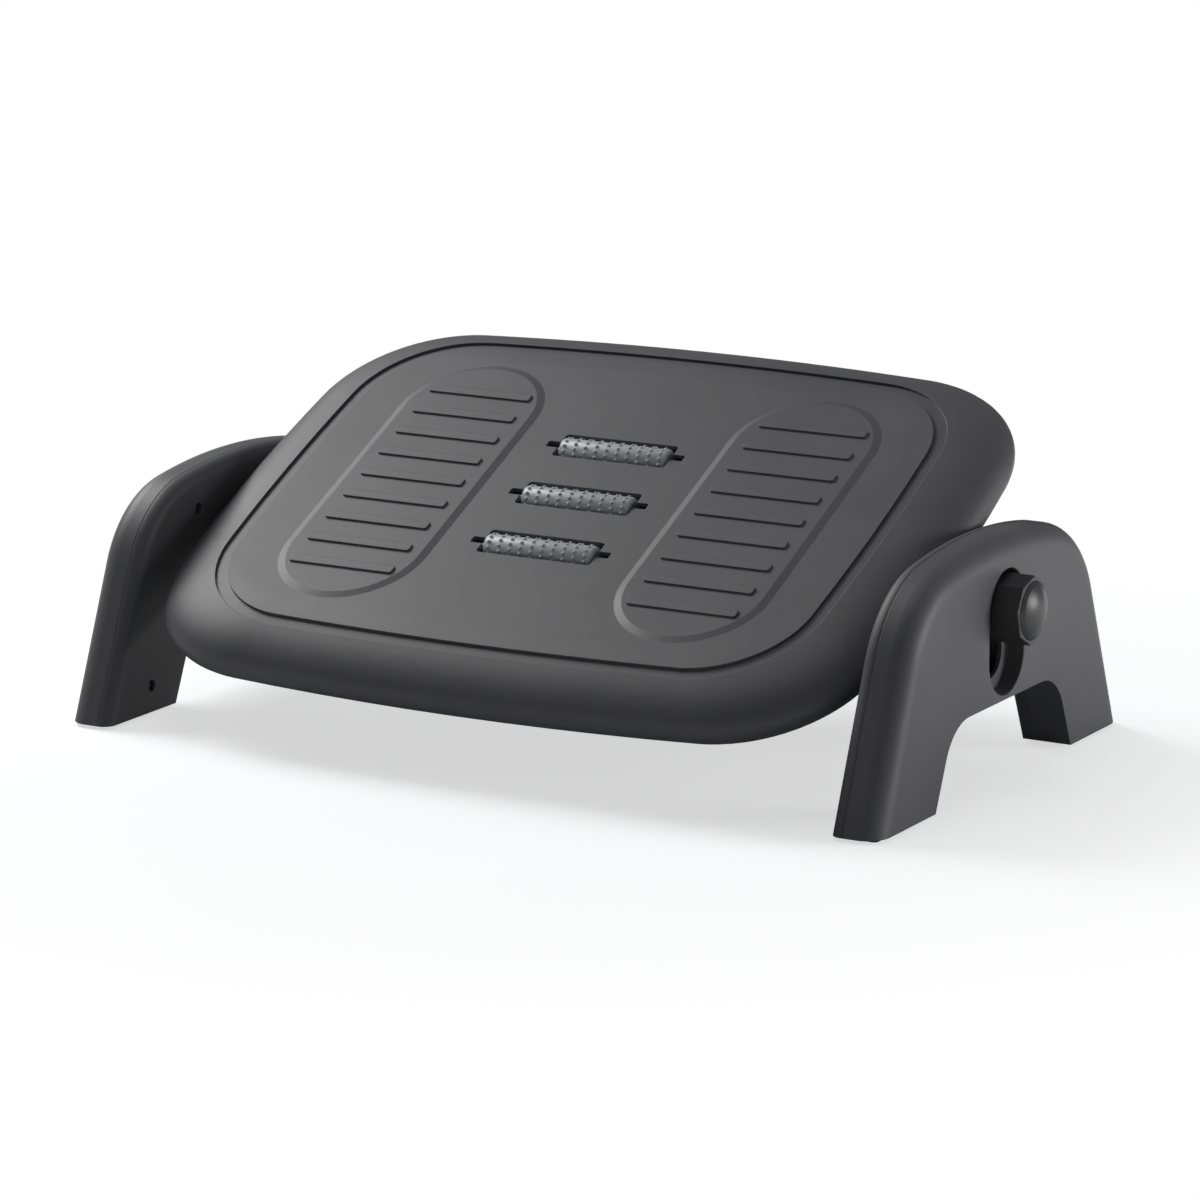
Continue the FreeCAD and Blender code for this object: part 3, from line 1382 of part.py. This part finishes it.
def roller_axle(label, y):
    # A plain steel pin, held by the tray's cradles.
    pin = doc.addObject("Part::Cylinder", label)
    pin.Label = label
    bind(pin, "Radius", "Sizes.axle_radius")
    bind(pin, "Height", "2 * Sizes.axle_half")
    level = Placement(Vector(-size("axle_half"), y, size("roller_axis")), Rotation(Vector(0, 1, 0), 90))
    pin.Placement = tilted().multiply(level)
    return pin


def left_copy(source):
    # The left-hand twin of a right-hand piece.
    label = source.Label.replace("right", "left")
    twin = doc.addObject("Part::Mirroring", label)
    twin.Label = label
    twin.Source = source
    twin.Base = Vector(0, 0, 0)
    twin.Normal = Vector(1, 0, 0)
    return twin


def check_states():
    for obj in doc.Objects:
        if "Invalid" in obj.State or "Error" in obj.State:
            raise RuntimeError("failed: " + obj.Name + " " + str(obj.State))


standing = [leg_shell(), leg_cover(), leg_screws(), foot_pads()]
for piece in standing:
    leg_place(piece)
sliding = [slide_block(), friction_washer()]
for piece in sliding:
    slide_place(piece)
turning = [lock_hub(), height_button(), pivot_bolt(), pivot_nut(), return_spring(), pivot_bracket(),
           upward_screws("bracket_screws_right", BRACKET_SCREWS, size("bracket_top") - size("bracket_plate"))]
level_pieces = [tread(), under_pan(), roller_tray(),
                upward_screws("pan_screws", PAN_SCREWS, joint_level() - size("head_seat")),
                upward_screws("tray_screws", TRAY_SCREWS, size("tray_floor"))]
axles = []
for place, y in zip(("front", "middle", "rear"), roller_places()):
    level_pieces.append(massage_roller("massage_roller_" + place, y))
    axles.append(roller_axle("roller_axle_" + place, y))
for piece in turning + level_pieces:
    tilt_place(piece)
doc.recompute()
pairs = standing + sliding + turning
twins = [left_copy(piece) for piece in pairs]
doc.recompute()
check_states()

os.makedirs("parts", exist_ok=True)
for piece in pairs + twins + level_pieces + axles:
    shape = piece.Shape
    if shape.isNull() or not shape.isValid():
        raise RuntimeError("bad shape: " + piece.Label)
    shape.exportStep("parts/" + piece.Label + ".step")
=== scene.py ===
import bpy
import bmesh
import math
from mathutils import Matrix, Vector


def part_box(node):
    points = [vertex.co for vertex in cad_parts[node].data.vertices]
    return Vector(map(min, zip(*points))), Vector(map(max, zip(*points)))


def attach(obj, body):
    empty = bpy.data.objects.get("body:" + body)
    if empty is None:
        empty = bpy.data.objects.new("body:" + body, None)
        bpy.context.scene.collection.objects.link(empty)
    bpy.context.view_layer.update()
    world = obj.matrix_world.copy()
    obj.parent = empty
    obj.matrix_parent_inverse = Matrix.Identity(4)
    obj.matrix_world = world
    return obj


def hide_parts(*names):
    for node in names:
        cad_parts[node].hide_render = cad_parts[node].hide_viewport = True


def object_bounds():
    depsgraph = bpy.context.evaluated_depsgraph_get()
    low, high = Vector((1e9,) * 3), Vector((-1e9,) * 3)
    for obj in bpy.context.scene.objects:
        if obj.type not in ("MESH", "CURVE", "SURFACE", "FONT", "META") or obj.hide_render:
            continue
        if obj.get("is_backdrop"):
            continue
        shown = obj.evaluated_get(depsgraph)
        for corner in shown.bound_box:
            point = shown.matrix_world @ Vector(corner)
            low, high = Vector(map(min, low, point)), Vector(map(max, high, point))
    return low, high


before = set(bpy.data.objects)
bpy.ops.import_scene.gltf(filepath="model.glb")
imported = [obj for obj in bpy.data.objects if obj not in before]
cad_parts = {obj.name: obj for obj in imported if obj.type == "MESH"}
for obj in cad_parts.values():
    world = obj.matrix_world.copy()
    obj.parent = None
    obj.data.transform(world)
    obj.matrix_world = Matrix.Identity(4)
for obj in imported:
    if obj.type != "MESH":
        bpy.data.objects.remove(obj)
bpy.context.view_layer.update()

# Camera, at the photograph's viewing angle: from the right and a little above, a long way
# off, so that the far leg looks nearly as large as the near one.
camera_data = bpy.data.cameras.new("camera")
camera_data.sensor_width = 36.0
camera_data.lens = 158.5
camera_data.clip_end = 50.0
camera = bpy.data.objects.new("camera", camera_data)
camera.location = (1.4632, -2.5338, 0.7468)
camera.rotation_euler = (math.radians(77.04), 0.0, math.radians(29.9))
bpy.context.scene.collection.objects.link(camera)
bpy.context.scene.camera = camera
bpy.context.scene.view_settings.view_transform = "Standard"


# Background paper: the white sweep that a product is photographed on. It keeps the soft
# shadow under the footrest and fades to plain white all round it.
def linear(code):
    # A colour written as six hex digits, in linear light.
    values = []
    for start in (0, 2, 4):
        value = int(code[start:start + 2], 16) / 255.0
        values.append(value / 12.92 if value <= 0.04045 else ((value + 0.055) / 1.055) ** 2.4)
    return (values[0], values[1], values[2], 1.0)


def add_node(tree, kind, settings, links):
    # Adds a node, sets its properties and sockets, and joins outputs to its inputs.
    made = tree.nodes.new("ShaderNode" + kind)
    for name, value in settings.items():
        if isinstance(name, int) or name in made.inputs:
            made.inputs[name].default_value = value
        else:
            setattr(made, name, value)
    for name, source in links.items():
        tree.links.new(source, made.inputs[name])
    return made


def direct_rays(tree):
    # The ray's kinds, and a value of one for the rays that show a surface to the camera.
    path = add_node(tree, "LightPath", {}, {})
    seen = add_node(tree, "Math", {"operation": "MAXIMUM"},
                    {0: path.outputs["Is Camera Ray"], 1: path.outputs["Is Transmission Ray"]})
    return path, seen


# A dim cool sky fills the shaded sides. The camera sees plain white in its place.
world = bpy.data.worlds.new("world")
bpy.context.scene.world = world
world.use_nodes = True
tree = world.node_tree
tree.nodes.clear()
path, seen = direct_rays(tree)
soft = add_node(tree, "Background", {"Color": linear("e6e8ec"), "Strength": 0.13}, {})
white = add_node(tree, "Background", {"Color": linear("ffffff"), "Strength": 1.0}, {})
choice = add_node(tree, "MixShader", {}, {0: seen.outputs[0], 1: soft.outputs[0], 2: white.outputs[0]})
add_node(tree, "OutputWorld", {}, {"Surface": choice.outputs[0]})

PAPER_HALF = 6.0
PAPER_LIFT = 0.62
FADE_START = 0.25
FADE_END = 0.58
paper_form = bmesh.new()
bmesh.ops.create_grid(paper_form, x_segments=1, y_segments=1, size=PAPER_HALF)
paper_mesh = bpy.data.meshes.new("background_paper")
paper_form.to_mesh(paper_mesh)
paper_form.free()
background_paper = bpy.data.objects.new("background_paper", paper_mesh)
bpy.context.scene.collection.objects.link(background_paper)
background_paper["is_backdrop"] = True

# Matt paper. It is lifted towards white where it is seen, but not in the light it throws.
paper = bpy.data.materials.new("paper_matt")
paper.use_nodes = True
tree = paper.node_tree
sheet = tree.nodes["Principled BSDF"]
sheet.inputs["Base Color"].default_value = linear("c9cacc")
sheet.inputs["Roughness"].default_value = 0.9
sheet.inputs["Specular IOR Level"].default_value = 0.1
place = add_node(tree, "TexCoord", {}, {})
reach = add_node(tree, "VectorMath", {"operation": "LENGTH"}, {0: place.outputs["Object"]})
fade = add_node(tree, "MapRange",
                {"interpolation_type": "SMOOTHSTEP", "From Min": FADE_START, "From Max": FADE_END},
                {"Value": reach.outputs["Value"]})
path, seen = direct_rays(tree)
mirrored = add_node(tree, "Math", {"operation": "MAXIMUM"},
                    {0: seen.outputs[0], 1: path.outputs["Is Glossy Ray"]})
far = add_node(tree, "Math", {"operation": "MULTIPLY"}, {0: mirrored.outputs[0], 1: fade.outputs["Result"]})
lift = add_node(tree, "Math", {"operation": "MULTIPLY", 1: PAPER_LIFT}, {0: seen.outputs[0]})
glow = add_node(tree, "Emission", {"Color": linear("ffffff")}, {"Strength": lift.outputs[0]})
near = add_node(tree, "AddShader", {}, {0: sheet.outputs[0], 1: glow.outputs[0]})
blank = add_node(tree, "Emission", {"Color": linear("ffffff"), "Strength": 1.0}, {})
blend = add_node(tree, "MixShader", {}, {0: far.outputs[0], 1: near.outputs[0], 2: blank.outputs[0]})
tree.links.new(blend.outputs[0], tree.nodes["Material Output"].inputs["Surface"])
paper_mesh.materials.append(paper)


# Lights: a large soft box high on the left, a low one behind on the right that draws the
# edges of the near leg, and a weak one overhead. The front stays dark, as in the picture.
def soft_box(name, spot, target, width, height, power):
    data = bpy.data.lights.new(name, "AREA")
    data.shape = "RECTANGLE"
    data.size = width
    data.size_y = height
    data.energy = power
    lamp = bpy.data.objects.new(name, data)
    lamp.location = spot
    lamp.rotation_euler = (Vector(target) - Vector(spot)).to_track_quat("-Z", "Y").to_euler()
    bpy.context.scene.collection.objects.link(lamp)


soft_box("box_left", (-1.45, 0.3, 1.3), (0.0, 0.0, 0.1), 0.9, 0.9, 24.0)
soft_box("box_right", (2.1, 0.9, 0.4), (0.2, 0.0, 0.1), 0.9, 0.6, 19.0)
soft_box("box_above", (0.0, -0.1, 2.1), (0.0, 0.0, 0.1), 0.9, 0.9, 4.0)


# Platform top: one large injection moulding in dark grey polypropylene, with a pillow rim,
# a channel round the top, two raised foot pads with grip bars and slots for the rollers.
def moulded(name, colour, other, rough, grain, depth, edge):
    # Injection-moulded plastic: the spark-eroded mould leaves a fine grain that breaks up
    # the sheen, and the pigment drifts a little in patches of about 70 mm. The width and
    # depth of the grain and the round on moulded edges are in millimetres.
    material = bpy.data.materials.new(name)
    material.use_nodes = True
    tree = material.node_tree
    shader = tree.nodes["Principled BSDF"]
    place = add_node(tree, "TexCoord", {}, {})
    drift = add_node(tree, "TexNoise", {"Scale": 14.0, "Detail": 3.0}, {"Vector": place.outputs["Object"]})
    amount = add_node(tree, "MapRange", {"From Min": 0.35, "From Max": 0.65, "To Max": 0.8},
                      {"Value": drift.outputs["Fac"]})
    tone = add_node(tree, "Mix", {"data_type": "RGBA", "A": linear(colour), "B": linear(other)},
                    {"Factor": amount.outputs["Result"]})
    tree.links.new(tone.outputs["Result"], shader.inputs["Base Color"])
    texture = add_node(tree, "TexNoise", {"Scale": 1000.0 / grain, "Detail": 4.0, "Roughness": 0.65},
                       {"Vector": place.outputs["Object"]})
    sheen = add_node(tree, "MapRange", {"To Min": rough - 0.05, "To Max": rough + 0.05},
                     {"Value": texture.outputs["Fac"]})
    tree.links.new(sheen.outputs["Result"], shader.inputs["Roughness"])
    soft_edge = add_node(tree, "Bevel", {"samples": 6, "Radius": edge / 1000.0}, {})
    bump = add_node(tree, "Bump", {"Strength": 0.5, "Distance": depth / 1000.0},
                    {"Height": texture.outputs["Fac"], "Normal": soft_edge.outputs["Normal"]})
    tree.links.new(bump.outputs["Normal"], shader.inputs["Normal"])
    return material


def dress(material, *names):
    # Gives CAD nodes their finished material.
    for name in names:
        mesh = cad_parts[name].data
        mesh.materials.clear()
        mesh.materials.append(material)


platform_plastic = moulded("polypropylene_platform", "5b5b5d", "626264",
                           rough=0.50, grain=0.6, depth=0.06, edge=0.6)
dress(platform_plastic, "tread_top")

# Bottom pan of the platform: polypropylene from a plainer mould, so a shade darker and
# duller. Screws driven upward from below hold it to the top.
pan_plastic = moulded("polypropylene_pan", "454547", "4b4b4d",
                      rough=0.58, grain=0.8, depth=0.08, edge=0.6)
dress(pan_plastic, "under_pan")


def zinc_plated(name):
    # Zinc-plated steel: a cool bright metal whose bath leaves faint cloudy patches.
    material = bpy.data.materials.new(name)
    material.use_nodes = True
    tree = material.node_tree
    shader = tree.nodes["Principled BSDF"]
    shader.inputs["Metallic"].default_value = 1.0
    place = add_node(tree, "TexCoord", {}, {})
    cloud = add_node(tree, "TexNoise", {"Scale": 160.0, "Detail": 4.0}, {"Vector": place.outputs["Object"]})
    tone = add_node(tree, "Mix", {"data_type": "RGBA", "A": linear("b4b8bd"), "B": linear("9ba0a6")},
                    {"Factor": cloud.outputs["Fac"]})
    tree.links.new(tone.outputs["Result"], shader.inputs["Base Color"])
    sheen = add_node(tree, "MapRange", {"To Min": 0.22, "To Max": 0.42}, {"Value": cloud.outputs["Fac"]})
    tree.links.new(sheen.outputs["Result"], shader.inputs["Roughness"])
    return material


steel = zinc_plated("zinc_plated_steel")
dress(steel, "pan_screws")

# Legs: hollow polypropylene mouldings in the platform's grey, each an outer shell and an
# inner cover that meet at a fine parting line. Screws close them from the inner side.
shell_plastic = moulded("polypropylene_leg", "5e5e60", "656567",
                        rough=0.50, grain=0.6, depth=0.06, edge=0.6)
dress(shell_plastic, "leg_shell_left", "leg_shell_right")
cover_plastic = moulded("polypropylene_leg_cover", "565658", "5d5d5f",
                        rough=0.54, grain=0.7, depth=0.07, edge=0.6)
dress(cover_plastic, "leg_cover_left", "leg_cover_right")
dress(steel, "leg_screws_left", "leg_screws_right")

# Feet: pads of black rubber with the dull face of their mould, pressed into recesses under
# the legs.
rubber = moulded("rubber_moulded", "1c1c1d", "242425",
                 rough=0.80, grain=0.8, depth=0.15, edge=0.4)
dress(rubber, "foot_pads_left", "foot_pads_right")

# Hubs and their domed buttons: nylon, harder and darker than the legs and a little glossier
# on the dome, which hands polish. A steel coil behind each button pushes it back out.
hub_plastic = moulded("nylon_hub", "404042", "464648",
                      rough=0.42, grain=0.7, depth=0.04, edge=0.5)
dress(hub_plastic, "lock_hub_left", "lock_hub_right")
button_plastic = moulded("nylon_button", "444446", "4a4a4c",
                         rough=0.36, grain=0.7, depth=0.03, edge=0.5)
dress(button_plastic, "height_button_left", "height_button_right")
dress(steel, "return_spring_left", "return_spring_right")

# Pivots: near-black brackets of glass-filled nylon screwed under the platform, each with a
# steel bolt and nut. Natural acetal, waxy and off-white, makes the blocks and washers that
# slide and turn against the legs.
bracket_plastic = moulded("glass_filled_nylon", "262628", "2d2d2f",
                          rough=0.50, grain=0.9, depth=0.10, edge=0.4)
dress(bracket_plastic, "pivot_bracket_left", "pivot_bracket_right")
dress(steel, "bracket_screws_left", "bracket_screws_right")
dress(steel, "pivot_bolt_left", "pivot_bolt_right", "pivot_nut_left", "pivot_nut_right")
slide_plastic = moulded("acetal_natural", "d8d6cc", "cfcdc3",
                        rough=0.38, grain=1.2, depth=0.03, edge=0.4)
dress(slide_plastic, "slide_block_left", "slide_block_right")
dress(slide_plastic, "friction_washer_left", "friction_washer_right")

# Roller tray: a tub of the same glass-filled nylon, screwed up behind the slots. Its snap
# cradles hold three plain steel axles.
dress(bracket_plastic, "roller_tray")
dress(steel, "tray_screws", "roller_axle_front", "roller_axle_middle", "roller_axle_rear")

# Massage rollers: light grey polypropylene drums with a satin skin, bored for their axles.
# Rings of small domed nubs stand on the drum, every other ring turned by half a nub. The
# rounded end is given as distances in from the end and down from the drum's skin.
roller_plastic = moulded("polypropylene_roller", "c6c8ca", "babcbe",
                         rough=0.40, grain=0.9, depth=0.04, edge=0.3)
BORE_RADIUS = 0.0021
NUB_RADIUS = 0.0011
NUB_RISE = 0.0010
NUB_RINGS = 10
NUBS_AROUND = 14
DRUM_STEPS = 64
END_ROUND = ((0.0, 0.0011), (0.0003, 0.0004), (0.0010, 0.0))
for place in ("front", "middle", "rear"):
    low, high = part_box("massage_roller_" + place)
    middle = (Vector(low) + Vector(high)) / 2
    half = (high[0] - low[0]) / 2
    drum = (high[2] - low[2]) / 2 - NUB_RISE
    form = bmesh.new()
    side = [(half, BORE_RADIUS)] + [(half - inward, drum - down) for inward, down in END_ROUND]
    outline = [(-x, radius) for x, radius in side] + side[::-1]
    points = [form.verts.new((x, 0.0, radius)) for x, radius in outline]
    edges = [form.edges.new(pair) for pair in zip(points, points[1:] + points[:1])]
    bmesh.ops.spin(form, geom=points + edges, cent=(0, 0, 0), axis=(1, 0, 0), angle=2 * math.pi,
                   steps=DRUM_STEPS, use_merge=True, use_duplicate=False)
    for ring in range(NUB_RINGS):
        across = -half + 2 * half * (ring + 0.5) / NUB_RINGS
        for step in range(NUBS_AROUND):
            turn = Matrix.Rotation(2 * math.pi * (step + 0.5 * (ring % 2)) / NUBS_AROUND, 4, "X")
            spot = turn @ Matrix.Translation((across, 0.0, drum + NUB_RISE - NUB_RADIUS))
            bmesh.ops.create_uvsphere(form, u_segments=12, v_segments=8, radius=NUB_RADIUS, matrix=spot)
    bmesh.ops.translate(form, verts=form.verts, vec=middle)
    bmesh.ops.recalc_face_normals(form, faces=form.faces)
    for face in form.faces:
        face.smooth = True
    mesh = bpy.data.meshes.new("nub_roller_" + place)
    form.to_mesh(mesh)
    form.free()
    mesh.materials.append(roller_plastic)
    roller = bpy.data.objects.new("nub_roller_" + place, mesh)
    bpy.context.scene.collection.objects.link(roller)
    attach(roller, "roller_" + place)
    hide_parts("massage_roller_" + place)

low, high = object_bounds()
